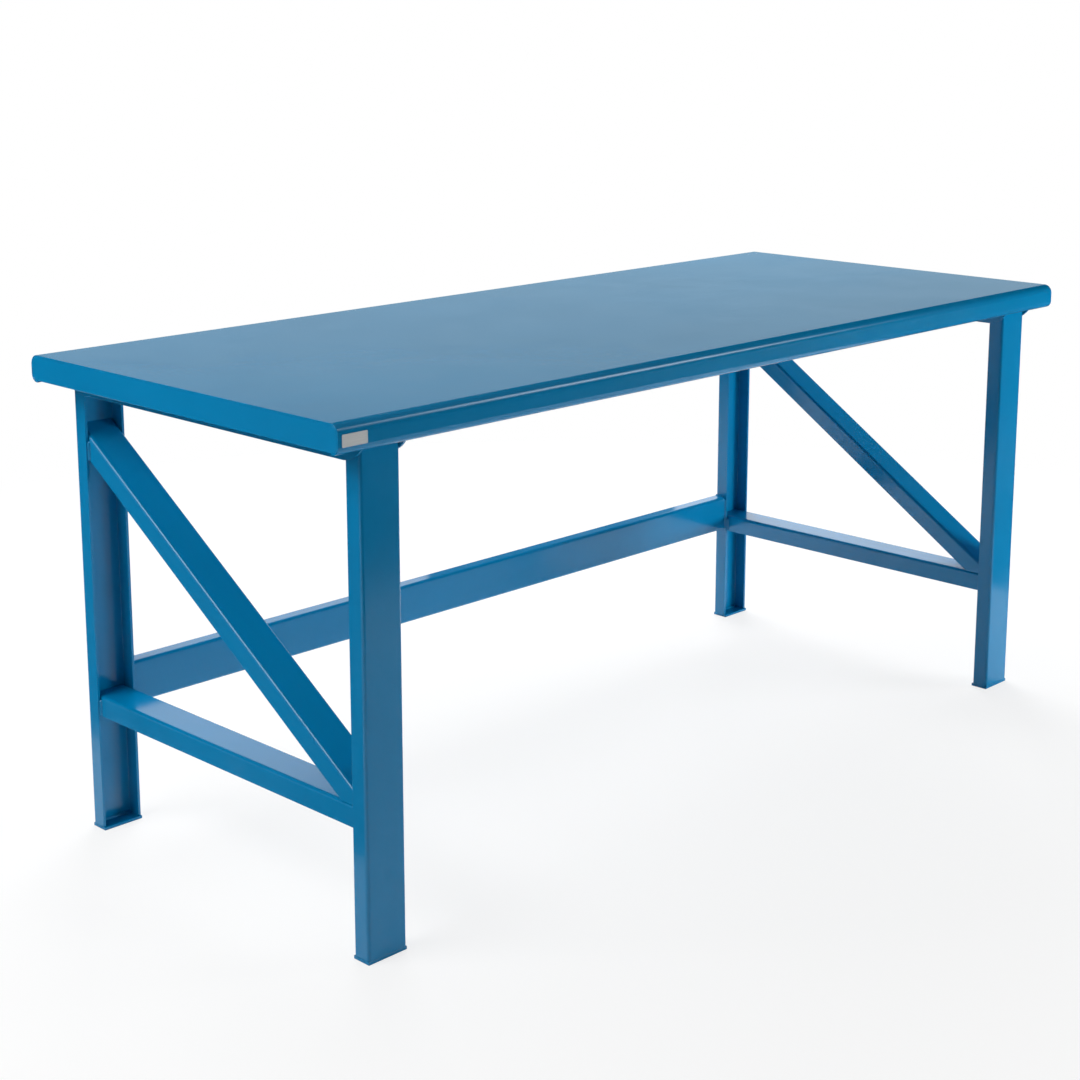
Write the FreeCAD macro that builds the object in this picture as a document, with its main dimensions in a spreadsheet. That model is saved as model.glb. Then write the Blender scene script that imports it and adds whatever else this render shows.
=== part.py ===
import FreeCAD, Part
import os
import Sketcher

# All-welded steel workbench. Millimetres. Origin on the floor under the middle of the top,
# +X along the length to the right, +Y to the rear, +Z up. The front is the -Y side.

SIZES = (
    ("top_length", 1829.0, "length of the top, 72 in"),
    ("top_depth", 762.0, "depth of the top, 30 in"),
    ("bench_height", 813.0, "floor to work surface, 32 in"),
    ("skin", 3.0, "sheet of the top, 11 gauge"),
    ("edge_drop", 44.5, "height of the rolled front and rear edges, 1 3/4 in"),
    ("edge_bend", 16.0, "outside radius where the sheet rolls down"),
    ("return_bend", 13.0, "outside radius where the rolled edge turns in under the top"),
    ("edge_return", 16.0, "how far the rolled edge turns in under the top"),
    ("leg_inset_x", 58.7, "end of the top to the outer face of a leg"),
    ("leg_inset_y", 25.6, "long edge of the top to the web of a leg"),
    ("leg_web", 74.0, "width of the leg channel"),
    ("leg_flange", 30.0, "depth of the leg channel"),
    ("wall", 4.8, "plate of every frame channel, 3/16 in"),
    ("bend", 5.8, "outside radius of the bends in the frame channels"),
    ("foot_plate", 5.0, "thickness of the plate under each leg"),
    ("foot_lip", 4.0, "how far a foot plate stands past the toes of its leg"),
    ("cross_drop", 63.5, "depth of the channel that caps each pair of legs, 2 1/2 in"),
    ("nose_run", 42.5, "length of the rounded cut at each end of a cap channel"),
    ("nose_rise", 22.0, "height of that rounded cut"),
    ("fit_gap", 1.0, "clearance of a rail or brace inside the leg channels, each side"),
    ("rail_flange", 35.0, "depth of the end rail and brace channels"),
    ("rail_top", 235.0, "floor to the top of an end rail"),
    ("brace_angle", 33.0, "slope of the braces in degrees"),
    ("brace_rise", 4.5, "top of the brace above the rail, at the web of the front leg"),
    ("stringer_flange", 27.0, "depth of the rear stringer channel"),
    ("stringer_bottom", 204.0, "floor to the underside of the rear stringer"),
    ("stiffener_web", 60.0, "width of the channels under the top"),
    ("stiffener_drop", 30.0, "depth of the channels under the top"),
    ("stiffener_spread", 127.0, "middle of the top to the middle of a stiffener"),
    ("plate_width", 45.0, "width of the blank name plate"),
    ("plate_height", 18.0, "height of the blank name plate"),
    ("plate_sheet", 0.8, "thickness of the blank name plate"),
    ("plate_inset", 7.0, "left end of the top to the name plate"),
    ("bead", 4.0, "leg length of the fillet welds"),
    ("small_bead", 2.5, "leg length of the stringer and tack welds"),
    ("tack", 25.0, "length of one tack weld"),
    ("tack_pitch", 220.0, "distance between tack welds"),
)

RIGHT = FreeCAD.Vector(1, 0, 0)
REAR = FreeCAD.Vector(0, 1, 0)
UP = FreeCAD.Vector(0, 0, 1)
UPRIGHT = FreeCAD.Rotation()
TURNED = FreeCAD.Rotation(UP, 180)
ALONG_DEPTH = FreeCAD.Rotation(RIGHT, -90)
ALONG_LENGTH = FreeCAD.Rotation(REAR, UP, RIGHT, "XYZ")
WEB_FORWARD = FreeCAD.Rotation(UP, REAR, RIGHT * -1, "XYZ")
TOLERANCE = 1e-4

doc = FreeCAD.newDocument("welded_workbench")
sheet = doc.addObject("Spreadsheet::Sheet", "sizes")
for row, (alias, number, meaning) in enumerate(SIZES, start=1):
    sheet.set(f"A{row}", alias)
    sheet.set(f"B{row}", str(number))
    sheet.set(f"C{row}", meaning)
    sheet.setAlias(f"B{row}", alias)
doc.recompute()

nodes = []


def size(alias):
    return float(getattr(sheet, alias))


def keep(part, label):
    """Give a finished sub-part the name of its node."""
    part.Label = label
    nodes.append(part)
    return part


def place(part, x, y, z, rotation=UPRIGHT):
    part.Placement = FreeCAD.Placement(FreeCAD.Vector(x, y, z), rotation)


def new_sketch(body, name, role):
    """A sketch on one of the body's own origin planes."""
    plane = next(item for item in body.Origin.OriginFeatures if item.Role == role)
    sketch = body.newObject("Sketcher::SketchObject", name)
    sketch.AttachmentSupport = [(plane, "")]
    sketch.MapMode = "FlatFace"
    return sketch


def fix_line(sketch, line, level, vertical):
    """Hold an upright or level line at its distance from the sketch's origin."""
    axis = -2 if vertical else -1
    if level == "0":
        sketch.addConstraint(Sketcher.Constraint("PointOnObject", line, 1, axis))
        return
    kind = "DistanceX" if vertical else "DistanceY"
    number = float(sheet.evalExpression(level))
    index = sketch.addConstraint(Sketcher.Constraint(kind, -1, 1, line, 1, number))
    sketch.setExpression(f"Constraints[{index}]", level)


def draw_outline(sketch, corners):
    """A closed outline of level and upright lines; corners are pairs of sheet expressions."""
    count = len(corners)
    points = [FreeCAD.Vector(*(float(sheet.evalExpression(term)) for term in pair), 0) for pair in corners]
    for index in range(count):
        sketch.addGeometry(Part.LineSegment(points[index], points[(index + 1) % count]))
    for index in range(count):
        sketch.addConstraint(Sketcher.Constraint("Coincident", index, 2, (index + 1) % count, 1))
    for index in range(count):
        here = corners[index]
        vertical = here[0] == corners[(index + 1) % count][0]
        sketch.addConstraint(Sketcher.Constraint("Vertical" if vertical else "Horizontal", index))
        fix_line(sketch, index, here[0] if vertical else here[1], vertical)


def extrude(body, sketch, length):
    pad = body.newObject("PartDesign::Pad", f"{sketch.Name}_pad")
    pad.Profile = sketch
    pad.setExpression("Length", length)
    doc.recompute()
    return pad


def round_edges(body, base, corners, radius):
    """Round the edges that run along the extrusion through the given corners."""
    names = []
    for number, edge in enumerate(base.Shape.Edges, start=1):
        ends = [vertex.Point for vertex in edge.Vertexes]
        for pair in corners:
            corner = FreeCAD.Vector(*(float(sheet.evalExpression(term)) for term in pair), 0)
            flat = [FreeCAD.Vector(end.x, end.y, 0) for end in ends]
            if len(ends) == 2 and all(end.isEqual(corner, TOLERANCE) for end in flat):
                names.append(f"Edge{number}")
    fillet = body.newObject("PartDesign::Fillet", f"{base.Name}_bend")
    fillet.Base = (base, names)
    fillet.setExpression("Radius", radius)
    doc.recompute()
    return fillet


def make_channel(name, web, flange, wall, bend, length):
    """A bent channel: web on local X, flanges towards local +Y, extruded along local Z."""
    inner = f"{web} - {wall}"
    corners = (
        ("0", "0"), (web, "0"), (web, flange), (inner, flange),
        (inner, wall), (wall, wall), (wall, flange), ("0", flange),
    )
    body = doc.addObject("PartDesign::Body", name)
    sketch = new_sketch(body, f"{name}_section", "XY_Plane")
    draw_outline(sketch, corners)
    pad = extrude(body, sketch, length)
    outside = round_edges(body, pad, (("0", "0"), (web, "0")), bend)
    round_edges(body, outside, ((wall, wall), (inner, wall)), f"{bend} - {wall}")
    return body


def make_slab(name, width, height, thickness):
    """A flat plate in the local XY plane."""
    body = doc.addObject("PartDesign::Body", name)
    sketch = new_sketch(body, f"{name}_outline", "XY_Plane")
    draw_outline(sketch, (("0", "0"), (width, "0"), (width, height), ("0", height)))
    pad = extrude(body, sketch, thickness)
    return body, pad


HALF_LENGTH = size("top_length") / 2
HALF_DEPTH = size("top_depth") / 2
SURFACE = size("bench_height")
SKIN = size("skin")
WALL = size("wall")
LEG_WEB = size("leg_web")
FRONT_WEB = -HALF_DEPTH + size("leg_inset_y")
LEG_EDGE = {
    "left": -HALF_LENGTH + size("leg_inset_x"),
    "right": HALF_LENGTH - size("leg_inset_x") - LEG_WEB,
}
CAP_TOP = SURFACE - SKIN
CAP_BOTTOM = CAP_TOP - size("cross_drop")
TOE = -FRONT_WEB - size("leg_flange")
RAIL_INSET = WALL + size("fit_gap")
RAIL_WIDTH = "(sizes.leg_web - 2 * sizes.wall - 2 * sizes.fit_gap)"
INNER_RUN = "(sizes.top_depth - 2 * sizes.leg_inset_y - 2 * sizes.wall)"


def make_top_skin():
    """One sheet: flat work surface, rolled down and in along the front and rear."""
    deep, drop, inset = "sizes.top_depth", "sizes.edge_drop", "sizes.edge_return"
    sheet_top = f"{drop} - sizes.skin"
    far, far_in = f"{deep} - sizes.skin", f"{deep} - {inset}"
    corners = (
        ("0", drop), ("0", "0"), (inset, "0"), (inset, "sizes.skin"),
        ("sizes.skin", "sizes.skin"), ("sizes.skin", sheet_top), (far, sheet_top), (far, "sizes.skin"),
        (far_in, "sizes.skin"), (far_in, "0"), (deep, "0"), (deep, drop),
    )
    body = doc.addObject("PartDesign::Body", "top_skin")
    sketch = new_sketch(body, "top_skin_section", "XY_Plane")
    draw_outline(sketch, corners)
    pad = extrude(body, sketch, "sizes.top_length")
    outside = round_edges(body, pad, (corners[0], corners[11]), "sizes.edge_bend")
    outside = round_edges(body, outside, (corners[1], corners[10]), "sizes.return_bend")
    inside = round_edges(body, outside, (corners[5], corners[6]), "sizes.edge_bend - sizes.skin")
    round_edges(body, inside, (corners[4], corners[7]), "sizes.return_bend - sizes.skin")
    place(body, -HALF_LENGTH, -HALF_DEPTH, SURFACE - size("edge_drop"), ALONG_LENGTH)
    keep(body, "top_skin")


def make_end_plate(side):
    """Flat plate that closes one end of the top, flush with the rolled edges."""
    width = "(sizes.top_depth - 2 * sizes.skin)"
    height = "(sizes.edge_drop - 2 * sizes.skin)"
    body, pad = make_slab(f"{side}_end_plate", width, height, "sizes.skin")
    upper = round_edges(body, pad, (("0", height), (width, height)), "sizes.edge_bend - sizes.skin")
    round_edges(body, upper, (("0", "0"), (width, "0")), "sizes.return_bend - sizes.skin")
    x = -HALF_LENGTH if side == "left" else HALF_LENGTH - SKIN
    place(body, x, -HALF_DEPTH + SKIN, SURFACE - size("edge_drop") + SKIN, ALONG_LENGTH)
    keep(body, f"{side}_end_plate")


def add_nose_cut(sketch, first, end, inward):
    """Outline of the rounded lower corner at one end of a cap channel."""
    drop, run, rise = size("cross_drop"), size("nose_run"), size("nose_rise")
    radius = (run * run + rise * rise) / (2 * rise)
    tip = FreeCAD.Vector(drop, end, 0)
    tangent = FreeCAD.Vector(drop, end + inward * run, 0)
    upper = FreeCAD.Vector(drop - rise, end, 0)
    centre = FreeCAD.Vector(drop - radius, end + inward * run, 0)
    toward = (tangent - centre).normalize() + (upper - centre).normalize()
    middle = centre + toward.normalize() * radius
    sketch.addGeometry(Part.LineSegment(tip, tangent))
    sketch.addGeometry(Part.Arc(tangent, middle, upper))
    sketch.addGeometry(Part.LineSegment(upper, tip))
    arc_from_tangent = sketch.getPoint(first + 1, 1).isEqual(tangent, TOLERANCE)
    tangent_end, upper_end = (1, 2) if arc_from_tangent else (2, 1)
    sketch.addConstraint(Sketcher.Constraint("Coincident", first, 2, first + 1, tangent_end))
    sketch.addConstraint(Sketcher.Constraint("Coincident", first + 1, upper_end, first + 2, 1))
    sketch.addConstraint(Sketcher.Constraint("Coincident", first + 2, 2, first, 1))
    sketch.addConstraint(Sketcher.Constraint("Vertical", first))
    sketch.addConstraint(Sketcher.Constraint("Horizontal", first + 2))
    sketch.addConstraint(Sketcher.Constraint("Horizontal", first + 1, 3, first, 2))
    held = sketch.addConstraint(Sketcher.Constraint("DistanceX", -1, 1, first, 1, drop))
    sketch.setExpression(f"Constraints[{held}]", "sizes.cross_drop")
    held = sketch.addConstraint(Sketcher.Constraint("Distance", first, run))
    sketch.setExpression(f"Constraints[{held}]", "sizes.nose_run")
    held = sketch.addConstraint(Sketcher.Constraint("Distance", first + 2, rise))
    sketch.setExpression(f"Constraints[{held}]", "sizes.nose_rise")


def make_cap_channel(side):
    """Upside-down channel under the top, over the heads of one front and one rear leg."""
    width = "(sizes.leg_web + 2 * sizes.wall)"
    length = "(sizes.top_depth - 2 * sizes.edge_return)"
    name = f"{side}_cap_channel"
    body = make_channel(name, width, "sizes.cross_drop", "sizes.wall", "sizes.bend", length)
    whole = body.Tip.Shape.Volume
    cuts = new_sketch(body, f"{name}_noses", "YZ_Plane")
    run_out = float(sheet.evalExpression(length))
    add_nose_cut(cuts, 0, 0.0, 1)
    cuts.addConstraint(Sketcher.Constraint("PointOnObject", 0, 1, -1))
    add_nose_cut(cuts, 3, run_out, -1)
    held = cuts.addConstraint(Sketcher.Constraint("DistanceY", -1, 1, 3, 1, run_out))
    cuts.setExpression(f"Constraints[{held}]", length)
    pocket = body.newObject("PartDesign::Pocket", f"{name}_nose_cuts")
    pocket.Profile = cuts
    pocket.Type = 1
    pocket.Reversed = True
    doc.recompute()
    if pocket.Shape.Volume > whole - 1:
        raise RuntimeError(f"{name}: the rounded ends were not cut")
    place(body, LEG_EDGE[side] - WALL, -HALF_DEPTH + size("edge_return"), CAP_TOP, ALONG_DEPTH)
    keep(body, name)


def make_leg(end, side):
    """Channel leg with its web outward, from the foot plate to the bends of the cap channel."""
    length = "sizes.bench_height - sizes.skin - sizes.bend - sizes.foot_plate"
    name = f"{end}_{side}_leg"
    body = make_channel(name, "sizes.leg_web", "sizes.leg_flange", "sizes.wall", "sizes.bend", length)
    if end == "front":
        place(body, LEG_EDGE[side], FRONT_WEB, size("foot_plate"))
    else:
        place(body, LEG_EDGE[side] + LEG_WEB, -FRONT_WEB, size("foot_plate"), TURNED)
    keep(body, name)


def make_foot_plate(end, side):
    """Flat plate that closes the bottom of a leg and stands a little past its toes."""
    name = f"{end}_{side}_foot_plate"
    body, pad = make_slab(name, "sizes.leg_web", "(sizes.leg_flange + sizes.foot_lip)", "sizes.foot_plate")
    y = FRONT_WEB if end == "front" else TOE - size("foot_lip")
    place(body, LEG_EDGE[side], y, 0)
    keep(body, name)


def make_end_rail(side):
    """Channel with its web up, from the front leg to the rear leg, inside their channels."""
    name = f"{side}_end_rail"
    body = make_channel(name, RAIL_WIDTH, "sizes.rail_flange", "sizes.wall", "sizes.bend", INNER_RUN)
    place(body, LEG_EDGE[side] + RAIL_INSET, FRONT_WEB + WALL, size("rail_top"), ALONG_DEPTH)
    keep(body, name)


def make_brace(side):
    """Diagonal channel, web up, from the foot of the front leg to the head of the rear leg."""
    length = f"{INNER_RUN} * 2"
    name = f"{side}_brace"
    blank = make_channel(f"{name}_blank", RAIL_WIDTH, "sizes.rail_flange", "sizes.wall", "sizes.bend", length)
    tilt = FreeCAD.Rotation(RIGHT, size("brace_angle") - 90)
    x = LEG_EDGE[side] + RAIL_INSET
    pivot = FreeCAD.Vector(x, FRONT_WEB + WALL, size("rail_top") + size("brace_rise"))
    start = pivot - tilt.multVec(UP) * (float(sheet.evalExpression(INNER_RUN)) / 2)
    blank.Placement = FreeCAD.Placement(start, tilt)
    limits = doc.addObject("Part::Box", f"{name}_limits")
    limits.setExpression("Length", "sizes.leg_web")
    limits.setExpression("Width", INNER_RUN)
    limits.setExpression("Height", "sizes.bench_height - sizes.rail_top")
    place(limits, LEG_EDGE[side], FRONT_WEB + WALL, size("rail_top"))
    brace = doc.addObject("Part::Common", name)
    brace.Base = blank
    brace.Tool = limits
    keep(brace, name)


def make_stringer():
    """Channel between the rear legs, web to the front, low down."""
    length = "sizes.top_length - 2 * sizes.leg_inset_x - 2 * sizes.leg_web"
    web, flange = "sizes.leg_web", "sizes.stringer_flange"
    body = make_channel("rear_stringer", web, flange, "sizes.wall", "sizes.bend", length)
    y = -FRONT_WEB - size("stringer_flange")
    place(body, LEG_EDGE["right"], y, size("stringer_bottom"), WEB_FORWARD)
    keep(body, "rear_stringer")


def make_stiffener(name, y_middle):
    """Channel under the sheet, toes up, from one cap channel to the other."""
    length = "sizes.top_length - 2 * (sizes.leg_inset_x + sizes.leg_web + sizes.wall)"
    web, flange = "sizes.stiffener_web", "sizes.stiffener_drop"
    body = make_channel(name, web, flange, "sizes.skin", "sizes.skin + 1", length)
    y = y_middle - size("stiffener_web") / 2
    place(body, LEG_EDGE["left"] + LEG_WEB + WALL, y, CAP_TOP - size("stiffener_drop"), ALONG_LENGTH)
    keep(body, name)


def make_name_plate():
    """Blank plate on the flat of the front edge, near the left corner."""
    body, pad = make_slab("name_plate", "sizes.plate_width", "sizes.plate_height", "sizes.plate_sheet")
    middle = SURFACE - (size("edge_drop") + size("edge_bend") - size("return_bend")) / 2
    z = middle - size("plate_height") / 2
    place(body, -HALF_LENGTH + size("plate_inset"), -HALF_DEPTH, z, FreeCAD.Rotation(RIGHT, 90))
    keep(body, "name_plate")


def make_weld(corner, first, second, length, radius):
    """Fillet weld along first x second from the corner line, filling the quarter between them."""
    count = sum(item.TypeId == "Part::Cylinder" for item in doc.Objects)
    weld = doc.addObject("Part::Cylinder", f"weld_{count + 1}")
    weld.Angle = 90
    weld.Height = length
    weld.setExpression("Radius", radius)
    along = first.cross(second)
    weld.Placement = FreeCAD.Placement(corner, FreeCAD.Rotation(first, second, along, "XYZ"))
    return weld


def keep_welds(label, welds):
    group = doc.addObject("Part::Compound", label)
    group.Links = welds
    keep(group, label)


def upright_weld(x, y, z_low, z_high, x_sign, y_sign, radius="sizes.bead"):
    """Upright weld in the quarter that x_sign and y_sign point into."""
    first, second = RIGHT * x_sign, REAR * y_sign
    start = z_low if x_sign * y_sign > 0 else z_high
    return make_weld(FreeCAD.Vector(x, y, start), first, second, z_high - z_low, radius)


def level_weld(start, along, side, lift, length, radius="sizes.bead"):
    """Level weld that runs a length along one axis; side and lift span its quarter."""
    first, second = side, UP * lift
    if first.cross(second).dot(along) < 0:
        first, second = second, first
    return make_weld(start, first, second, length, radius)


def groove_weld(name, x, y, x_sign, length):
    """Weld that fills the groove between a rounded corner of a cap channel and the sheet."""
    block = doc.addObject("Part::Box", f"{name}_block")
    corner = doc.addObject("Part::Cylinder", f"{name}_corner")
    for term in ("Length", "Height"):
        block.setExpression(term, "sizes.bend")
    block.Width = length
    corner.Height = length
    corner.setExpression("Radius", "sizes.bend")
    bend = size("bend")
    place(block, x if x_sign < 0 else x - bend, y, CAP_TOP - bend)
    place(corner, x - x_sign * bend, y, CAP_TOP - bend, ALONG_DEPTH)
    weld = doc.addObject("Part::Cut", name)
    weld.Base = block
    weld.Tool = corner
    return weld


def make_leg_head_welds(end, side):
    """Upright welds from the toes of a leg to the inside of its cap channel."""
    low, high = CAP_BOTTOM + size("bead"), CAP_TOP - size("bend")
    y, outward = (-TOE, 1) if end == "front" else (TOE, -1)
    x_left, x_right = LEG_EDGE[side], LEG_EDGE[side] + LEG_WEB
    welds = [
        upright_weld(x_left, y, low, high, 1, outward),
        upright_weld(x_right, y, low, high, -1, outward),
    ]
    keep_welds(f"{end}_{side}_leg_head_welds", welds)


def make_rail_welds(side):
    """Upright welds from the flanges of a rail to the toes of both legs."""
    low, high = size("rail_top") - size("rail_flange"), size("rail_top") - size("bend")
    x_left = LEG_EDGE[side] + RAIL_INSET
    x_right = LEG_EDGE[side] + LEG_WEB - RAIL_INSET
    welds = []
    for y, outward in ((-TOE, 1), (TOE, -1)):
        welds.append(upright_weld(x_left, y, low, high, -1, outward))
        welds.append(upright_weld(x_right, y, low, high, 1, outward))
    keep_welds(f"{side}_rail_welds", welds)


def brace_heights(y):
    """Lower and upper height of the side face of a brace at a depth y."""
    slope = FreeCAD.Rotation(RIGHT, size("brace_angle")).multVec(REAR)
    rise = (y - FRONT_WEB - WALL) * slope.z / slope.y
    upper = size("rail_top") + size("brace_rise") + rise
    lower = upper - size("rail_flange") / slope.y
    return max(lower, size("rail_top")), upper - size("bend") / slope.y


def make_brace_welds(side):
    """Upright welds from the flanges of a brace to the toes of both legs."""
    x_left = LEG_EDGE[side] + RAIL_INSET
    x_right = LEG_EDGE[side] + LEG_WEB - RAIL_INSET
    front_low, _ = brace_heights(-TOE + size("bead"))
    _, front_high = brace_heights(-TOE)
    rear_low, _ = brace_heights(TOE)
    _, rear_high = brace_heights(TOE - size("bead"))
    welds = []
    for y, outward, low, high in ((-TOE, 1, front_low, front_high), (TOE, -1, rear_low, rear_high)):
        welds.append(upright_weld(x_left, y, low, high, -1, outward))
        welds.append(upright_weld(x_right, y, low, high, 1, outward))
    keep_welds(f"{side}_brace_welds", welds)


def make_stringer_welds():
    """Welds around both ends of the stringer, against the inner flanges of the rear legs."""
    low = size("stringer_bottom")
    high = low + LEG_WEB
    front = -FRONT_WEB - size("stringer_flange")
    bend = size("bend")
    run = size("stringer_flange") - bend
    welds = []
    for x, inward in ((LEG_EDGE["left"] + LEG_WEB, 1), (LEG_EDGE["right"], -1)):
        welds.append(upright_weld(x, front, low + bend, high - bend, inward, -1, "sizes.small_bead"))
        for z, lift in ((high, 1), (low, -1)):
            start = FreeCAD.Vector(x, front + bend, z)
            welds.append(level_weld(start, REAR, RIGHT * inward, lift, run, "sizes.small_bead"))
    keep_welds("stringer_welds", welds)


def make_foot_welds():
    """Welds along the inside of the web of each leg, on its foot plate."""
    run = LEG_WEB - 2 * RAIL_INSET
    welds = []
    for left_edge in LEG_EDGE.values():
        for y, inward in ((FRONT_WEB + WALL, 1), (-FRONT_WEB - WALL, -1)):
            start = FreeCAD.Vector(left_edge + RAIL_INSET, y, size("foot_plate"))
            welds.append(level_weld(start, RIGHT, REAR * inward, 1, run))
    keep_welds("foot_plate_welds", welds)


def tack_starts(run, margin):
    """Evenly spaced starts of tack welds along a run that is centred on zero."""
    pitch = size("tack_pitch")
    count = int((run - 2 * margin - size("tack")) // pitch) + 1
    first = -(count - 1) * pitch / 2 - size("tack") / 2
    return [first + index * pitch for index in range(count)]


def make_stiffener_welds(name, y_middle):
    """Tack welds from both toes of a stiffener to the sheet above."""
    run = 2 * (LEG_EDGE["right"] - WALL)
    half = size("stiffener_web") / 2
    welds = []
    for x in tack_starts(run, size("tack")):
        for side in (-1, 1):
            start = FreeCAD.Vector(x, y_middle + side * half, CAP_TOP)
            welds.append(level_weld(start, RIGHT, REAR * side, -1, size("tack"), "sizes.small_bead"))
    keep_welds(f"{name}_welds", welds)


def make_cap_welds(side):
    """Tack welds in the grooves between a cap channel and the sheet above."""
    run = 2 * (HALF_DEPTH - size("edge_return"))
    welds = []
    for x, x_sign in ((LEG_EDGE[side] - WALL, -1), (LEG_EDGE[side] + LEG_WEB + WALL, 1)):
        for y in tack_starts(run, size("nose_run")):
            welds.append(groove_weld(f"{side}_cap_weld_{len(welds) + 1}", x, y, x_sign, size("tack")))
    keep_welds(f"{side}_cap_channel_welds", welds)


for part_side in LEG_EDGE:
    make_end_plate(part_side)
    make_cap_channel(part_side)
    for part_end in ("front", "rear"):
        make_leg(part_end, part_side)
        make_foot_plate(part_end, part_side)
        make_leg_head_welds(part_end, part_side)
    make_end_rail(part_side)
    make_brace(part_side)
    make_rail_welds(part_side)
    make_cap_welds(part_side)
    make_brace_welds(part_side)
make_top_skin()
make_stringer()
make_stringer_welds()
make_foot_welds()
for part_end, sign in (("front", -1), ("rear", 1)):
    make_stiffener(f"{part_end}_stiffener", sign * size("stiffener_spread"))
    make_stiffener_welds(f"{part_end}_stiffener", sign * size("stiffener_spread"))
make_name_plate()

doc.recompute()
for item in doc.Objects:
    if "Invalid" in item.State or "Error" in item.State:
        raise RuntimeError(f"{item.Label}: {item.State}")
os.makedirs("parts", exist_ok=True)
for node in nodes:
    if node.Shape.isNull() or not node.Shape.isValid():
        raise RuntimeError(f"{node.Label}: no valid shape")
    node.Shape.exportStep(f"parts/{node.Label}.step")
    box = node.Shape.BoundBox
    print(
        f"{node.Label}: {len(node.Shape.Solids)} solid(s), {node.Shape.Volume / 1000:.1f} cm3, "
        f"x {box.XMin:.1f} {box.XMax:.1f}, y {box.YMin:.1f} {box.YMax:.1f}, z {box.ZMin:.1f} {box.ZMax:.1f}"
    )
print(f"{len(nodes)} nodes")
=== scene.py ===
import math
import random

import bmesh
import bpy
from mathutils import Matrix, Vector


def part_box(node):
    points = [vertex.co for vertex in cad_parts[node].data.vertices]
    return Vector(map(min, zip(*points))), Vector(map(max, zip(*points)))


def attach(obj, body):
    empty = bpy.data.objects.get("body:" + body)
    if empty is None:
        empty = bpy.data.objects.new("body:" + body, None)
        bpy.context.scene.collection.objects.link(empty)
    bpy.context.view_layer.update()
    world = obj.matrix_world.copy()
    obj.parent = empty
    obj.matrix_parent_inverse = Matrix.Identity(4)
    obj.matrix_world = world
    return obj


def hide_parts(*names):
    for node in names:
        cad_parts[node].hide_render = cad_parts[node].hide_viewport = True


# All-welded steel workbench in glossy blue enamel. Metres, in the part's own frame:
# origin on the floor under the middle of the top, +X right, +Y rear, +Z up.

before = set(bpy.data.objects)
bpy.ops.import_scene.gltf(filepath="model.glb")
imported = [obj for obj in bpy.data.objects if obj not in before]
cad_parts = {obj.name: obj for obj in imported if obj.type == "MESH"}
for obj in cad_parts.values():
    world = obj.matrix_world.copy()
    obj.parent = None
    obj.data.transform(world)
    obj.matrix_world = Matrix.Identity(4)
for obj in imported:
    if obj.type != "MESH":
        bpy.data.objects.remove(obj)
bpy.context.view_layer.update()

# Sheet and plate sizes that a node's box alone doesn't give.
SKIN = 0.003  # sheet of the top and the stiffeners
EDGE_BEND = 0.016  # outside radius where the top rolls down
RETURN_BEND = 0.013  # outside radius where the rolled edge turns in
EDGE_RETURN = 0.016  # how far the rolled edge runs in under the top
WALL = 0.0048  # plate of the frame
BEND = 0.0058  # outside radius of the frame channels
STIFFENER_BEND = 0.004
NOSE_RUN = 0.0425  # rounded ends of the cap channels' flanges
NOSE_RISE = 0.022
BRACE_ANGLE = math.radians(33)
BRACE_RISE = 0.0045  # outer face of the web above the end rail, at the brace's front end
BRACE_FLANGE = 0.035
BRACE_SPARE = 0.1  # run past each end before the brace is trimmed
TOE_ROUND = 0.0007
END_CHAMFER = 0.0005
SHEET_CHAMFER = 0.0004
FOOT_CORNER = 0.0012
PLATE_CORNER = 0.0015  # blank plate
PLATE_RIM = 0.0012  # width of its raised rim
RIM_EASE = 0.0002
PLATE_SINK = 0.00025  # depth of its face below the rim

# Steps round each kind of bend.
EDGE_STEPS = 16
RETURN_STEPS = 14
SHEET_STEPS = 8
SHEET_TOE_STEPS = 2
BEND_STEPS = 8
INNER_STEPS = 4
TOE_STEPS = 3
NOSE_STEPS = 14
FOOT_STEPS = 3
PLATE_STEPS = 5

# Faces that meet at more than this many degrees keep a sharp edge.
SHARP_ANGLE = 32.0
BEAD_SHARP_ANGLE = 60.0
PLATE_SHARP_ANGLE = 25.0
FLAT_WEIGHT = 100  # above 50 the wide faces lead where normals are averaged

# Weld beads. Shares are of the bead's own leg.
BEAD_SIDES = 7
RIPPLE_PITCH = 0.0030
RIPPLE_SAMPLES = 5
LEAST_SAMPLES = 8
RIPPLE_DEPTH = 0.075
RIPPLE_CRESCENT = 0.45
BEAD_BULGE = 0.80
BEAD_CROWN = 0.06
HOLLOW_BULGE = 0.527
HOLLOW_SHARE = 0.55
TAPER_RUN = 0.8
TAPER_START = 0.25
WANDER_LOW = 0.94
WANDER_SAMPLES = 6
BEAD_SEED = 7
SAME_POINT = 1e-6

X_AXIS = Vector((1, 0, 0))
Y_AXIS = Vector((0, 1, 0))
Z_AXIS = Vector((0, 0, 1))
SIDES = ("left", "right")
ENDS = ("front", "rear")


# ---------------------------------------------------------------- mesh helpers


def rounded_outline(corners):
    """Closed outline from (u, v, radius, steps) corners, with each corner rounded."""
    outline = []
    count = len(corners)
    for index, (u, v, radius, steps) in enumerate(corners):
        here = Vector((u, v))
        back = (Vector(corners[index - 1][:2]) - here).normalized()
        ahead = (Vector(corners[(index + 1) % count][:2]) - here).normalized()
        half = back.angle(ahead) / 2
        centre = here + (back + ahead).normalized() * (radius / math.sin(half))
        reach = radius / math.tan(half)
        first = here + back * reach - centre
        last = here + ahead * reach - centre
        turn = first.angle(last)
        for step in range(steps + 1):
            share = step / steps
            near = math.sin((1 - share) * turn) / math.sin(turn)
            far = math.sin(share * turn) / math.sin(turn)
            outline.append(centre + first * near + last * far)
    return outline


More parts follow.
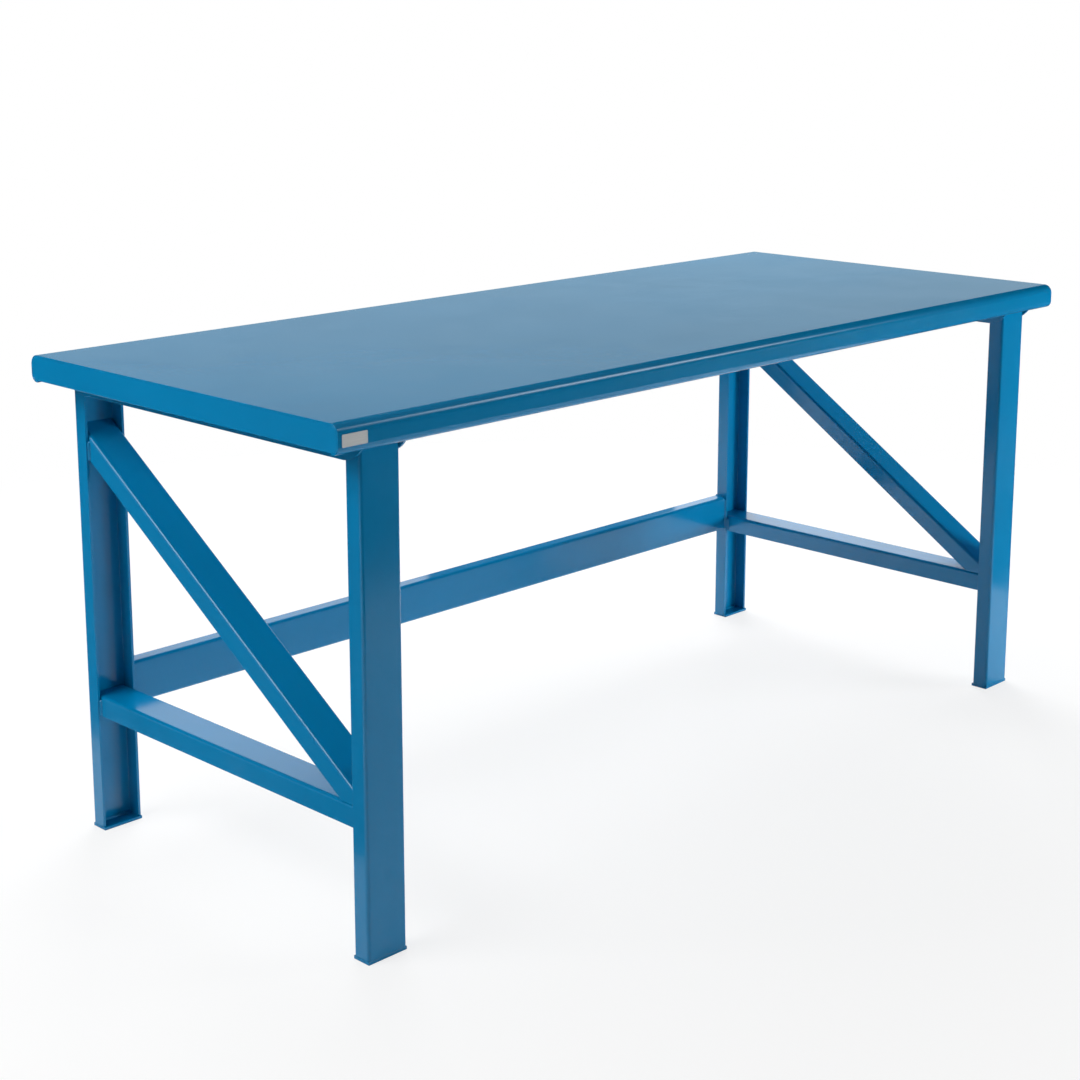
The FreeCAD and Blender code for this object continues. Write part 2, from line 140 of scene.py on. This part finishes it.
def inset_outline(outline, amount):
    """The outline moved inward by an amount, for a chamfered end."""
    least_lean = 0.5
    area = sum(a.x * b.y - b.x * a.y for a, b in zip(outline, outline[1:] + outline[:1]))
    turn = 1 if area > 0 else -1
    moved = []
    count = len(outline)
    for index, here in enumerate(outline):
        back = (here - outline[index - 1]).normalized()
        ahead = (outline[(index + 1) % count] - here).normalized()
        normal = Vector((-(back.y + ahead.y), back.x + ahead.x)) * turn
        normal.normalize()
        lean = max(least_lean, normal.dot(Vector((-back.y, back.x)) * turn))
        moved.append(here + normal * (amount / lean))
    return moved


def loft_mesh(bm, rings):
    """Skin a row of closed rings with equal counts, and cap both ends."""
    made = [[bm.verts.new(point) for point in ring] for ring in rings]
    count = len(rings[0])
    for near, far in zip(made, made[1:]):
        for index in range(count):
            after = (index + 1) % count
            bm.faces.new((near[index], near[after], far[after], far[index]))
    bm.faces.new(list(reversed(made[0])))
    bm.faces.new(made[-1])


def new_piece(name, bm, sharp=SHARP_ANGLE):
    """Object from a bmesh, smooth where faces meet gently and sharp elsewhere."""
    bmesh.ops.recalc_face_normals(bm, faces=bm.faces)
    mesh = bpy.data.meshes.new(name)
    bm.to_mesh(mesh)
    bm.free()
    mesh.shade_smooth()
    mesh.set_sharp_from_angle(angle=math.radians(sharp))
    piece = bpy.data.objects.new(name, mesh)
    bpy.context.scene.collection.objects.link(piece)
    return piece


def flat_normals(piece):
    """Keep wide flat faces flat next to narrow rounded ones."""
    weighted = piece.modifiers.new("flat_normals", "WEIGHTED_NORMAL")
    weighted.keep_sharp = True
    weighted.weight = FLAT_WEIGHT


def stand_for(piece, node, material):
    """Give a piece its material and put it in the place of its CAD node."""
    piece.data.materials.append(material)
    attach(piece, "root")
    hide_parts(node)


def extrude_outline(bm, outline, origin, u_axis, v_axis, along, length, chamfer=END_CHAMFER):
    """Straight bar of one outline, with a small chamfer round both ends."""
    narrow = inset_outline(outline, chamfer)
    stations = (
        (0.0, narrow), (chamfer, outline), (length - chamfer, outline), (length, narrow),
    )
    rings = []
    for run, shape in stations:
        rings.append([origin + u_axis * p.x + v_axis * p.y + along * run for p in shape])
    loft_mesh(bm, rings)


def channel_corners(web, flange, wall, bend):
    """Section of a bent channel: web on u, flanges towards +v, toes slightly rounded."""
    inner = bend - wall
    return (
        (0, 0, bend, BEND_STEPS), (web, 0, bend, BEND_STEPS),
        (web, flange, TOE_ROUND, TOE_STEPS), (web - wall, flange, TOE_ROUND, TOE_STEPS),
        (web - wall, wall, inner, INNER_STEPS), (wall, wall, inner, INNER_STEPS),
        (wall, flange, TOE_ROUND, TOE_STEPS), (0, flange, TOE_ROUND, TOE_STEPS),
    )


# ------------------------------------------------------------------- materials


def principled(name, color, roughness):
    """New material, its node tree and its shader."""
    material = bpy.data.materials.new(name)
    material.use_nodes = True
    shader = material.node_tree.nodes["Principled BSDF"]
    shader.inputs["Base Color"].default_value = (*color, 1)
    shader.inputs["Roughness"].default_value = roughness
    return material, material.node_tree, shader


def object_place(tree):
    return tree.nodes.new("ShaderNodeTexCoord").outputs["Object"]


def noise(tree, place, scale, detail, distortion=0.0):
    node = tree.nodes.new("ShaderNodeTexNoise")
    node.inputs["Scale"].default_value = scale
    node.inputs["Detail"].default_value = detail
    node.inputs["Distortion"].default_value = distortion
    tree.links.new(place, node.inputs["Vector"])
    return node.outputs["Fac"]


def spread(tree, value, low, high, out_low, out_high):
    """The value's range from low to high, stretched over another range."""
    node = tree.nodes.new("ShaderNodeMapRange")
    for socket, number in (
        ("From Min", low), ("From Max", high), ("To Min", out_low), ("To Max", out_high),
    ):
        node.inputs[socket].default_value = number
    tree.links.new(value, node.inputs["Value"])
    return node.outputs["Result"]


def blend_colors(tree, factor, low, high):
    node = tree.nodes.new("ShaderNodeMix")
    node.data_type = "RGBA"
    node.inputs["A"].default_value = (*low, 1)
    node.inputs["B"].default_value = (*high, 1)
    tree.links.new(factor, node.inputs["Factor"])
    return node.outputs["Result"]


def bump(tree, height, strength, distance, under=None):
    node = tree.nodes.new("ShaderNodeBump")
    node.inputs["Strength"].default_value = strength
    node.inputs["Distance"].default_value = distance
    tree.links.new(height, node.inputs["Height"])
    if under is not None:
        tree.links.new(under, node.inputs["Normal"])
    return node.outputs["Normal"]


def multiply(tree, first, second):
    node = tree.nodes.new("ShaderNodeMath")
    node.operation = "MULTIPLY"
    tree.links.new(first, node.inputs[0])
    tree.links.new(second, node.inputs[1])
    return node.outputs["Value"]


def mix_shaders(tree, factor, first, second):
    node = tree.nodes.new("ShaderNodeMixShader")
    tree.links.new(factor, node.inputs["Fac"])
    tree.links.new(first, node.inputs[1])
    tree.links.new(second, node.inputs[2])
    return node.outputs["Shader"]


BLUE_LIGHT = (0.0004, 0.184, 0.392)
BLUE_DARK = (0.0004, 0.166, 0.356)
ENAMEL_IOR = 1.5
CLOUD_SCALE = 3.1
CLOUD_DETAIL = 4.0
CLOUD_SWIRL = 0.3
CLOUD_RANGE = (0.3, 0.7)
GLOSS_SCALE = 7.0
GLOSS_DETAIL = 6.0
GLOSS_SWIRL = 0.6
GLOSS_RANGE = (0.35, 0.7)
PEEL_SCALE = 420.0
PEEL_DEPTH = 0.00006


def enamel(name, peel, wave_scale, wave_depth, rough):
    """Glossy enamel: faint mottling, orange peel, a slow wave in the sheet and uneven gloss."""
    material, tree, shader = principled(name, BLUE_LIGHT, rough[0])
    place = object_place(tree)
    cloud = noise(tree, place, CLOUD_SCALE, CLOUD_DETAIL, CLOUD_SWIRL)
    mottle = spread(tree, cloud, *CLOUD_RANGE, 0, 1)
    tree.links.new(blend_colors(tree, mottle, BLUE_DARK, BLUE_LIGHT), shader.inputs["Base Color"])
    gloss = noise(tree, place, GLOSS_SCALE, GLOSS_DETAIL, GLOSS_SWIRL)
    tree.links.new(spread(tree, gloss, *GLOSS_RANGE, *rough), shader.inputs["Roughness"])
    wave = bump(tree, noise(tree, place, wave_scale, detail=1.0), 1.0, wave_depth)
    fine = bump(tree, noise(tree, place, PEEL_SCALE, detail=2.0), peel, PEEL_DEPTH, wave)
    tree.links.new(fine, shader.inputs["Normal"])
    shader.inputs["IOR"].default_value = ENAMEL_IOR
    return material


top_enamel = enamel("top_enamel", peel=0.35, wave_scale=3.2, wave_depth=0.00012, rough=(0.16, 0.185))
frame_enamel = enamel("frame_enamel", peel=0.5, wave_scale=14.0, wave_depth=0.0003, rough=(0.12, 0.2))
weld_enamel = enamel("weld_enamel", peel=0.9, wave_scale=160.0, wave_depth=0.0003, rough=(0.16, 0.28))

PLATE_TONE = (0.78, 0.78, 0.77)
PLATE_DARK = (0.60, 0.61, 0.61)
PLATE_LIGHT = (0.84, 0.84, 0.83)
PLATE_ROUGHNESS = 0.35
PLATE_METALLIC = 0.25
BRUSH_STRETCH = (30.0, 2400.0, 2400.0)
BRUSH_RANGE = (0.3, 0.7)
BRUSH_ROUGHNESS = (0.28, 0.42)
BRUSH_STRENGTH = 0.4
BRUSH_DEPTH = 0.00003


def satin_plate():
    """Brushed aluminium, brushed along the plate."""
    material, tree, shader = principled("plate_metal", PLATE_TONE, PLATE_ROUGHNESS)
    stretch = tree.nodes.new("ShaderNodeMapping")
    stretch.inputs["Scale"].default_value = BRUSH_STRETCH
    tree.links.new(object_place(tree), stretch.inputs["Vector"])
    brushed = noise(tree, stretch.outputs["Vector"], scale=1.0, detail=3.0)
    tree.links.new(blend_colors(tree, brushed, PLATE_DARK, PLATE_LIGHT), shader.inputs["Base Color"])
    tree.links.new(spread(tree, brushed, *BRUSH_RANGE, *BRUSH_ROUGHNESS), shader.inputs["Roughness"])
    tree.links.new(bump(tree, brushed, BRUSH_STRENGTH, BRUSH_DEPTH), shader.inputs["Normal"])
    shader.inputs["Metallic"].default_value = PLATE_METALLIC
    return material


plate_metal = satin_plate()


# ---------------------------------------------------------------------- pieces


def make_top_skin():
    """Top sheet, rolled down and in along the front and rear, filling its node's box."""
    low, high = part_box("top_skin")
    deep, drop = high.y - low.y, high.z - low.z
    inner_top, inner_low = EDGE_BEND - SKIN, RETURN_BEND - SKIN
    front_half = (
        (0, drop, EDGE_BEND, EDGE_STEPS), (0, 0, RETURN_BEND, RETURN_STEPS),
        (EDGE_RETURN, 0, TOE_ROUND, SHEET_TOE_STEPS), (EDGE_RETURN, SKIN, TOE_ROUND, SHEET_TOE_STEPS),
        (SKIN, SKIN, inner_low, SHEET_STEPS), (SKIN, drop - SKIN, inner_top, SHEET_STEPS),
    )
    rear_half = tuple((deep - u, v, radius, steps) for u, v, radius, steps in reversed(front_half))
    bm = bmesh.new()
    outline = rounded_outline(front_half + rear_half)
    extrude_outline(bm, outline, low, Y_AXIS, Z_AXIS, X_AXIS, high.x - low.x, SHEET_CHAMFER)
    piece = new_piece("top_sheet", bm)
    flat_normals(piece)
    stand_for(piece, "top_skin", top_enamel)


def make_plate(name, node, material, axes, radii, steps):
    """Flat plate with rounded corners, the lower pair then the upper, filling its node's box."""
    across, up, along = axes
    low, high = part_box(node)
    width, height, length = (abs((high - low).dot(axis)) for axis in axes)
    corners = (
        (0, 0, radii[0], steps), (width, 0, radii[0], steps),
        (width, height, radii[1], steps), (0, height, radii[1], steps),
    )
    bm = bmesh.new()
    extrude_outline(bm, rounded_outline(corners), low, across, up, along, length, SHEET_CHAMFER)
    piece = new_piece(name, bm)
    flat_normals(piece)
    stand_for(piece, node, material)


def make_channel(name, node, origin, web_axis, flange_axis, along, wall=WALL, bend=BEND):
    """Straight bent channel that fills its node's box."""
    low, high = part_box(node)
    span = high - low
    web, flange, length = (abs(span.dot(axis)) for axis in (web_axis, flange_axis, along))
    bm = bmesh.new()
    outline = rounded_outline(channel_corners(web, flange, wall, bend))
    extrude_outline(bm, outline, origin, web_axis, flange_axis, along, length)
    piece = new_piece(name, bm)
    flat_normals(piece)
    stand_for(piece, node, frame_enamel)


def make_cap_channel(side):
    """Upside-down channel whose flanges run out in a rounded nose at both ends."""
    node = f"{side}_cap_channel"
    low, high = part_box(node)
    width, drop, length = high.x - low.x, high.z - low.z, high.y - low.y
    radius = (NOSE_RUN ** 2 + NOSE_RISE ** 2) / (2 * NOSE_RISE)

    def depth_at(run):
        near = min(run, length - run)
        if near >= NOSE_RUN:
            return drop
        return drop - radius + math.sqrt(radius ** 2 - (NOSE_RUN - near) ** 2)

    def section_at(run):
        return rounded_outline(channel_corners(width, depth_at(run), WALL, BEND))

    quarter = math.pi / 2
    runs = [END_CHAMFER]
    runs += [NOSE_RUN * math.sin(quarter * k / NOSE_STEPS) for k in range(1, NOSE_STEPS + 1)]
    runs = sorted(runs + [length - run for run in runs])
    narrow = inset_outline(section_at(0), END_CHAMFER)
    shapes = [(0.0, narrow)] + [(run, section_at(run)) for run in runs] + [(length, narrow)]
    rings = []
    for run, shape in shapes:
        rings.append([Vector((low.x + p.x, low.y + run, high.z - p.y)) for p in shape])
    bm = bmesh.new()
    loft_mesh(bm, rings)
    piece = new_piece(node.replace("_channel", "_rail"), bm)
    flat_normals(piece)
    stand_for(piece, node, frame_enamel)


def trim(bm, point, outward):
    """Cut away what lies beyond a plane and close the cut."""
    geometry = bm.verts[:] + bm.edges[:] + bm.faces[:]
    cut = bmesh.ops.bisect_plane(bm, geom=geometry, plane_co=point, plane_no=outward, clear_outer=True)
    edges = [item for item in cut["geom_cut"] if isinstance(item, bmesh.types.BMEdge)]
    bmesh.ops.contextual_create(bm, geom=edges)


def make_brace(side):
    """Tilted channel, web up, trimmed to the webs of both legs and to the end rail."""
    node = f"{side}_brace"
    low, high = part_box(node)
    lean = Vector((0, math.cos(BRACE_ANGLE), math.sin(BRACE_ANGLE)))
    down = Vector((0, math.sin(BRACE_ANGLE), -math.cos(BRACE_ANGLE)))
    pivot = Vector((low.x, low.y, low.z + BRACE_RISE))
    outline = rounded_outline(channel_corners(high.x - low.x, BRACE_FLANGE, WALL, BEND))
    reach = (high.y - low.y) / math.cos(BRACE_ANGLE)
    rings = []
    for run in (-BRACE_SPARE, reach + BRACE_SPARE):
        rings.append([pivot + lean * run + X_AXIS * p.x + down * p.y for p in outline])
    bm = bmesh.new()
    loft_mesh(bm, rings)
    trim(bm, high, Y_AXIS)
    trim(bm, low, -Z_AXIS)
    trim(bm, low, -Y_AXIS)
    piece = new_piece(f"{side}_diagonal", bm)
    flat_normals(piece)
    stand_for(piece, node, frame_enamel)


def loose_corners(node):
    """Corner lists of each separate solid in a CAD node."""
    bm = bmesh.new()
    bm.from_mesh(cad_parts[node].data)
    bmesh.ops.remove_doubles(bm, verts=bm.verts, dist=SAME_POINT)
    left = set(bm.verts)
    groups = []
    while left:
        start = min(left, key=lambda vert: vert.index)
        stack, found = [start], []
        left.discard(start)
        while stack:
            vert = stack.pop()
            found.append(vert.co.copy())
            for edge in vert.link_edges:
                other = edge.other_vert(vert)
                if other in left:
                    left.discard(other)
                    stack.append(other)
        groups.append(found)
    bm.free()
    return groups


def weld_run(points):
    """Root corner, two legs, run, leg length, run length and whether the face is hollow."""
    low = Vector(min(p[k] for p in points) for k in range(3))
    high = Vector(max(p[k] for p in points) for k in range(3))
    span = high - low
    along = max(range(3), key=lambda k: span[k])
    first, second = (k for k in range(3) if k != along)

    def gap(at_first, at_second):
        return min((p[first] - at_first) ** 2 + (p[second] - at_second) ** 2 for p in points)

    ends = [(low[first], low[second]), (high[first], low[second]),
            (high[first], high[second]), (low[first], high[second])]
    missing = max(ends, key=lambda pair: gap(*pair))
    root = low.copy()
    root[first] = low[first] + high[first] - missing[0]
    root[second] = low[second] + high[second] - missing[1]
    legs = []
    for axis, end in ((first, missing[0]), (second, missing[1])):
        leg = Vector((0, 0, 0))
        leg[axis] = 1 if end > root[axis] else -1
        legs.append(leg)
    run = Vector((0, 0, 0))
    run[along] = 1
    hollow = gap(*missing) > (span[first] * HOLLOW_SHARE) ** 2
    return root, legs, run, span[first], span[along], hollow


def add_bead(bm, root, legs, run, size, length, hollow, rng):
    """One weld bead with overlapping ripples, a slight wander and drawn-in ends."""
    samples = max(LEAST_SAMPLES, round(length / RIPPLE_PITCH * RIPPLE_SAMPLES))
    phase = rng.random()
    wander = [rng.uniform(WANDER_LOW, 1.0) for _ in range(samples // WANDER_SAMPLES + 3)]
    quarter = math.pi / 2
    rings = []
    for step in range(samples + 1):
        share = step / samples
        place = share * length
        edge = min(place, length - place) / (size * TAPER_RUN)
        taper = math.sin(min(1.0, TAPER_START + (1 - TAPER_START) * edge) * quarter)
        spot = share * (len(wander) - 2)
        index = int(spot)
        wide = wander[index] + (wander[index + 1] - wander[index]) * (spot - index)
        root_here = root + run * place
        ring = [root_here]
        for turn in range(BEAD_SIDES + 1):
            angle = quarter * turn / BEAD_SIDES
            crown = math.sin(angle * 2)
            late = (place / RIPPLE_PITCH + phase - crown * RIPPLE_CRESCENT) % 1.0
            if turn in (0, BEAD_SIDES):
                reach = size * wide
            else:
                bulge = BEAD_BULGE + BEAD_CROWN * crown
                if hollow:
                    bulge = HOLLOW_BULGE / max(math.cos(angle), math.sin(angle))
                reach = min(size, size * bulge * (1 - RIPPLE_DEPTH * late ** 2) * wide * taper)
            ring.append(root_here + legs[0] * math.cos(angle) * reach + legs[1] * math.sin(angle) * reach)
        rings.append(ring)
    loft_mesh(bm, rings)


def make_weld_group(node, rng):
    """All the beads of one weld node, one over each of its solids."""
    bm = bmesh.new()
    for points in loose_corners(node):
        root, legs, run, size, length, hollow = weld_run(points)
        add_bead(bm, root, legs, run, size, length, hollow, rng)
    piece = new_piece(node.replace("_welds", "_beads"), bm, BEAD_SHARP_ANGLE)
    stand_for(piece, node, weld_enamel)


def make_name_plate():
    """Blank plate with a narrow raised rim."""
    node = "name_plate"
    low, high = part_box(node)
    wide, tall, thick = high.x - low.x, high.z - low.z, high.y - low.y
    corners = ((0, 0), (wide, 0), (wide, tall), (0, tall))
    outline = rounded_outline([(u, v, PLATE_CORNER, PLATE_STEPS) for u, v in corners])
    depths = (
        (0.0, 0.0), (thick - RIM_EASE, 0.0), (thick, RIM_EASE), (thick, PLATE_RIM),
        (thick - PLATE_SINK, PLATE_RIM + RIM_EASE),
    )
    origin = Vector((low.x, high.y, low.z))
    rings = []
    for depth, inward in depths:
        shape = inset_outline(outline, inward) if inward else outline
        rings.append([origin + Vector((p.x, -depth, p.y)) for p in shape])
    bm = bmesh.new()
    loft_mesh(bm, rings)
    piece = new_piece("blank_plate", bm, PLATE_SHARP_ANGLE)
    stand_for(piece, node, plate_metal)


def make_end(side):
    """End cover, cap rail, low rail, diagonal, and both legs with their foot pads."""
    make_plate(
        f"{side}_end_cover", f"{side}_end_plate", top_enamel,
        (Y_AXIS, Z_AXIS, X_AXIS), (RETURN_BEND - SKIN, EDGE_BEND - SKIN), SHEET_STEPS,
    )
    make_cap_channel(side)
    low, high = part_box(f"{side}_end_rail")
    web_corner = Vector((low.x, low.y, high.z))
    make_channel(f"{side}_low_rail", f"{side}_end_rail", web_corner, X_AXIS, -Z_AXIS, Y_AXIS)
    make_brace(side)
    for end in ENDS:
        low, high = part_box(f"{end}_{side}_leg")
        facing = 1 if end == "front" else -1
        web_corner = low if end == "front" else Vector((high.x, high.y, low.z))
        make_channel(
            f"{end}_{side}_post", f"{end}_{side}_leg", web_corner,
            X_AXIS * facing, Y_AXIS * facing, Z_AXIS,
        )
        make_plate(
            f"{end}_{side}_pad", f"{end}_{side}_foot_plate", frame_enamel,
            (X_AXIS, Y_AXIS, Z_AXIS), (FOOT_CORNER, FOOT_CORNER), FOOT_STEPS,
        )


def build_bench():
    make_top_skin()
    for side in SIDES:
        make_end(side)
    low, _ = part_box("rear_stringer")
    make_channel("rear_beam", "rear_stringer", low, Z_AXIS, Y_AXIS, X_AXIS)
    for end in ENDS:
        low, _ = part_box(f"{end}_stiffener")
        make_channel(
            f"{end}_under_rib", f"{end}_stiffener", low, Y_AXIS, Z_AXIS, X_AXIS, SKIN, STIFFENER_BEND,
        )
    make_name_plate()
    rng = random.Random(BEAD_SEED)
    for node in sorted(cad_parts):
        if node.endswith("_welds"):
            make_weld_group(node, rng)


# ----------------------------------------------------------------------- stage


FLOOR_RADIUS = 14.0
FLOOR_SEGMENTS = 96
FLOOR_GAP = 0.0002
FLOOR_GREY = (0.84, 0.84, 0.84)
FLOOR_ROUGHNESS = 0.7
FLOOR_LIFT = 0.78  # share of plain white in the floor near the bench, as the camera sees it
LIFT_NEAR = 0.9  # the floor turns from that share to plain white between these distances
LIFT_FAR = 2.6

# Dark cards on the floor: low and high corner of each.
DARK_CARDS = (
    (-13.0, 2.6, 13.0, 13.0), (1.4, -13.0, 13.0, 2.6), (-13.0, -13.0, 1.4, -1.75),
    (-13.0, -0.15, -1.08, 2.6), (-13.0, -1.75, -5.0, -0.15),
)
DARK_CARD_HEIGHT = 0.002
DARK_GREY = (0.03, 0.03, 0.03)
DARK_ROUGHNESS = 0.8

# Studio dome: glow of the ring above the horizon and of the ceiling, and the heights (sine of
# the angle above the horizon) where the ring ends, the dark walls run and the ceiling starts.
RING_GLOW = 0.57
RING_TINT = (0.85, 1.0, 1.04)
CEILING_GLOW = 0.12
RING_END = 0.21
WALL_LOW = 0.27
WALL_HIGH = 0.55
CEILING_START = 0.72

# Lamps: name, place, aim, width and height, watts.
LAMPS = (
    ("left_box", (-3.0, 0.5, 2.6), (-0.9, 0, 0.5), (2.0, 1.8), 87),
    ("right_box", (3.4, 0.6, 1.7), (0.9, 0, 0.5), (1.8, 1.6), 34),
    ("back_box", (-0.4, 3.4, 1.9), (0, 0.4, 0.5), (2.4, 1.6), 20),
    ("front_right_box", (2.6, -2.4, 0.55), (0.9, -0.3, 0.55), (1.2, 0.7), 84),
    ("overhead_box", (2.0, 2.4, 2.5), (0.5, 0.1, 0.7), (2.4, 1.8), 155),
)

# Upright cards: name, foot from, foot to, lower edge, upper edge, glow, and soft edges as
# (axis, share of the card where the glow starts, share where it is full).
LEFT_SOFT_EDGES = (("Y", 0.0, 0.3), ("Y", 1.0, 0.7), ("Z", 0.0, 0.4), ("Z", 1.0, 0.7))
BAND_SOFT_EDGES = (("X", 0.0, 0.5), ("X", 1.0, 0.75), ("Z", 0.0, 0.22), ("Z", 1.0, 0.55))
CARDS = (
    ("left_soft", (-3.0, -1.2), (-3.0, 1.6), 1.5, 3.7, 7.5, LEFT_SOFT_EDGES),
    ("left_glow", (-0.75, 0.62), (0.15, 0.62), 0.28, 0.73, 1.15, ()),
    ("right_glow", (0.95, 0.62), (2.6, 0.62), 0.28, 0.73, 1.5, ()),
    ("band_glow", (0.8, -2.2), (3.6, -2.2), 1.85, 3.9, 6.0, BAND_SOFT_EDGES),
    ("dark_wall", (-4.0, -3.2), (8.0, -3.2), 0.003, 2.6, 0.0, ()),
)

CAMERA_PLACE = (-2.5704, -2.3874, 1.3743)
CAMERA_YAW = math.radians(44.511)
CAMERA_PITCH = math.radians(11.521)
CAMERA_LENS = 66.18
CAMERA_SENSOR = 36.0
CAMERA_SHIFT = -0.1296


def show_only_in_gloss(thing):
    """Hide a stage card from everything but reflections, like a studio card out of frame."""
    thing.visible_camera = False
    thing.visible_shadow = False
    thing.visible_transmission = False
    thing.visible_volume_scatter = False
    thing.visible_diffuse = False


def make_floor():
    """White floor, lit up for the camera like a backdrop, with faint shadows by the bench.

    From below it is clear, so that the underside can be looked at.
    """
    bm = bmesh.new()
    bmesh.ops.create_circle(bm, cap_ends=True, radius=FLOOR_RADIUS, segments=FLOOR_SEGMENTS)
    bmesh.ops.translate(bm, verts=bm.verts, vec=(0, 0, -FLOOR_GAP))
    floor = new_piece("floor", bm)
    if floor.data.polygons[0].normal.z < 0:
        floor.data.flip_normals()
    material, tree, shader = principled("pale_floor", FLOOR_GREY, FLOOR_ROUGHNESS)
    shader.inputs["Specular IOR Level"].default_value = 0.0
    distance = tree.nodes.new("ShaderNodeVectorMath")
    distance.operation = "LENGTH"
    tree.links.new(object_place(tree), distance.inputs[0])
    white = tree.nodes.new("ShaderNodeEmission").outputs["Emission"]
    seen = tree.nodes.new("ShaderNodeLightPath").outputs["Is Camera Ray"]
    lift = spread(tree, distance.outputs["Value"], LIFT_NEAR, LIFT_FAR, FLOOR_LIFT, 1.0)
    upper = mix_shaders(tree, multiply(tree, lift, seen), shader.outputs["BSDF"], white)
    clear = tree.nodes.new("ShaderNodeBsdfTransparent").outputs["BSDF"]
    below = tree.nodes.new("ShaderNodeNewGeometry").outputs["Backfacing"]
    surface = mix_shaders(tree, below, upper, clear)
    tree.links.new(surface, tree.nodes["Material Output"].inputs["Surface"])
    floor.data.materials.append(material)


def make_dark_surround():
    """Dark cards on the floor round the bench, seen only in the enamel's reflections."""
    bm = bmesh.new()
    for x_low, y_low, x_high, y_high in DARK_CARDS:
        corners = ((x_low, y_low), (x_high, y_low), (x_high, y_high), (x_low, y_high))
        bm.faces.new([bm.verts.new((x, y, DARK_CARD_HEIGHT)) for x, y in corners])
    card = new_piece("dark_surround", bm)
    material, _, shader = principled("dark_card", DARK_GREY, DARK_ROUGHNESS)
    shader.inputs["Specular IOR Level"].default_value = 0.0
    card.data.materials.append(material)
    show_only_in_gloss(card)


def add_card(name, start, end, low, high, glow, soft_edges):
    """Upright glowing card that only reflections see, soft at its edges where they are given."""
    bm = bmesh.new()
    corners = ((*start, low), (*end, low), (*end, high), (*start, high))
    bm.faces.new([bm.verts.new(corner) for corner in corners])
    card = new_piece(name, bm)
    material = bpy.data.materials.new(name)
    material.use_nodes = True
    tree = material.node_tree
    tree.nodes.clear()
    light = tree.nodes.new("ShaderNodeEmission")
    light.inputs["Strength"].default_value = glow
    out = tree.nodes.new("ShaderNodeOutputMaterial")
    tree.links.new(light.outputs["Emission"], out.inputs["Surface"])
    if soft_edges:
        place = tree.nodes.new("ShaderNodeTexCoord").outputs["Generated"]
        parts = tree.nodes.new("ShaderNodeSeparateXYZ")
        tree.links.new(place, parts.inputs["Vector"])
        ramps = [spread(tree, parts.outputs[axis], edge, full, 0, 1) for axis, edge, full in soft_edges]
        level = ramps[0]
        for ramp in ramps[1:]:
            level = multiply(tree, level, ramp)
        tree.links.new(level, light.inputs["Color"])
    card.data.materials.append(material)
    show_only_in_gloss(card)


def add_lamp(name, place, aim, size, power):
    """Rectangular lamp that lights the bench but is not seen, even in reflections."""
    data = bpy.data.lights.new(name, "AREA")
    data.shape = "RECTANGLE"
    data.size, data.size_y = size
    data.energy = power
    lamp = bpy.data.objects.new(name, data)
    bpy.context.scene.collection.objects.link(lamp)
    lamp.location = place
    lamp.rotation_mode = "QUATERNION"
    lamp.rotation_quaternion = (Vector(aim) - Vector(place)).to_track_quat("-Z", "Y")
    lamp.visible_camera = False
    lamp.visible_glossy = False


def make_world():
    """Studio dome: a pale ring above the horizon, dark walls, dim ceiling. The camera sees white."""
    world = bpy.data.worlds.new("studio")
    bpy.context.scene.world = world
    world.use_nodes = True
    tree = world.node_tree
    tree.nodes.clear()
    parts = tree.nodes.new("ShaderNodeSeparateXYZ")
    direction = tree.nodes.new("ShaderNodeTexCoord").outputs["Generated"]
    tree.links.new(direction, parts.inputs["Vector"])
    ramp = tree.nodes.new("ShaderNodeValToRGB")
    ramp.color_ramp.interpolation = "EASE"
    ceiling = CEILING_GLOW / RING_GLOW
    first, last = ramp.color_ramp.elements
    first.color = (*RING_TINT, 1)
    last.color = (ceiling, ceiling, ceiling, 1)
    for position, grey in ((RING_END, 1), (WALL_LOW, 0), (WALL_HIGH, 0), (CEILING_START, ceiling)):
        ramp.color_ramp.elements.new(position).color = [grey * tint for tint in RING_TINT] + [1]
    tree.links.new(parts.outputs["Z"], ramp.inputs["Fac"])
    room = tree.nodes.new("ShaderNodeBackground")
    tree.links.new(ramp.outputs["Color"], room.inputs["Color"])
    room.inputs["Strength"].default_value = RING_GLOW
    white = tree.nodes.new("ShaderNodeBackground")
    white.inputs["Color"].default_value = (1, 1, 1, 1)
    seen = tree.nodes.new("ShaderNodeLightPath").outputs["Is Camera Ray"]
    surface = mix_shaders(tree, seen, room.outputs["Background"], white.outputs["Background"])
    out = tree.nodes.new("ShaderNodeOutputWorld")
    tree.links.new(surface, out.inputs["Surface"])


def make_lights():
    for lamp in LAMPS:
        add_lamp(*lamp)
    for card in CARDS:
        add_card(*card)


def make_camera():
    data = bpy.data.cameras.new("camera")
    data.sensor_width = CAMERA_SENSOR
    data.lens = CAMERA_LENS
    data.shift_y = CAMERA_SHIFT
    camera = bpy.data.objects.new("camera", data)
    bpy.context.scene.collection.objects.link(camera)
    level = math.cos(CAMERA_PITCH)
    forward = Vector((
        math.cos(CAMERA_YAW) * level, math.sin(CAMERA_YAW) * level, -math.sin(CAMERA_PITCH),
    ))
    camera.location = CAMERA_PLACE
    camera.rotation_mode = "QUATERNION"
    camera.rotation_quaternion = forward.to_track_quat("-Z", "Y")
    bpy.context.scene.camera = camera


build_bench()
make_floor()
make_dark_surround()
make_world()
make_lights()
make_camera()
bpy.context.scene.view_settings.view_transform = "Standard"
